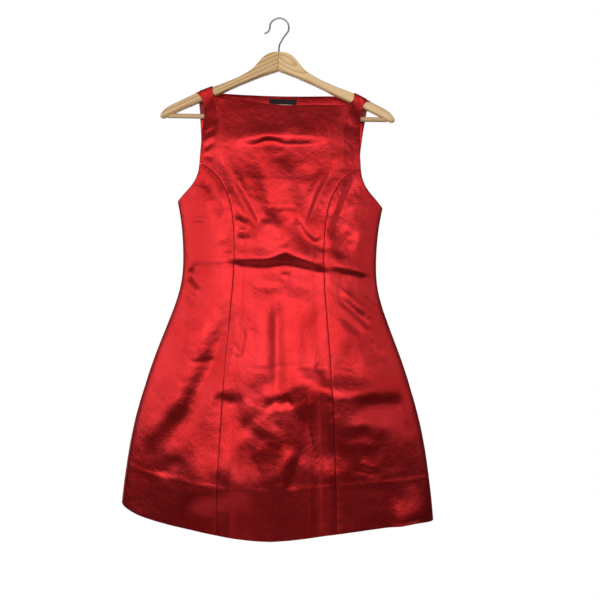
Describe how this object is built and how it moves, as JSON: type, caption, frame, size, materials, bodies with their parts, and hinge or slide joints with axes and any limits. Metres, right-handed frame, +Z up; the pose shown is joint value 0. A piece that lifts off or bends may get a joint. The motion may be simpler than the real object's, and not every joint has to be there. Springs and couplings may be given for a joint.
{
  "type": "sleeveless cocktail dress on a wooden clothes hanger",
  "caption": "Sleeveless boat-neck fit-and-flare cocktail dress in satin, hanging on a wooden clothes hanger with a wire hook.",
  "frame": {"origin": "inside of the hook's bend at its top, where a rail bears", "axes": "+Z up; the dress faces -Y; +X is to the right seen from the front, which is the wearer's left"},
  "size_m": [0.5885, 0.1001, 0.9803],
  "materials": {
    "red_satin": "heavy duchesse satin, smooth with a soft sheen",
    "black_woven_tape": "matt woven tape, plain",
    "pale_wood": "sanded and thinly varnished",
    "bright_steel": "plain drawn wire, bright"
  },
  "bodies": {
    "root": {"front_centre": "red_satin", "front_side_left": "red_satin", "front_side_right": "red_satin", "back": "red_satin", "label": "black_woven_tape", "hanger_arm_left": "pale_wood", "hanger_arm_right": "pale_wood", "hanger_bar": "pale_wood", "hanger_hook": "bright_steel"}
  },
  "joints": []
}
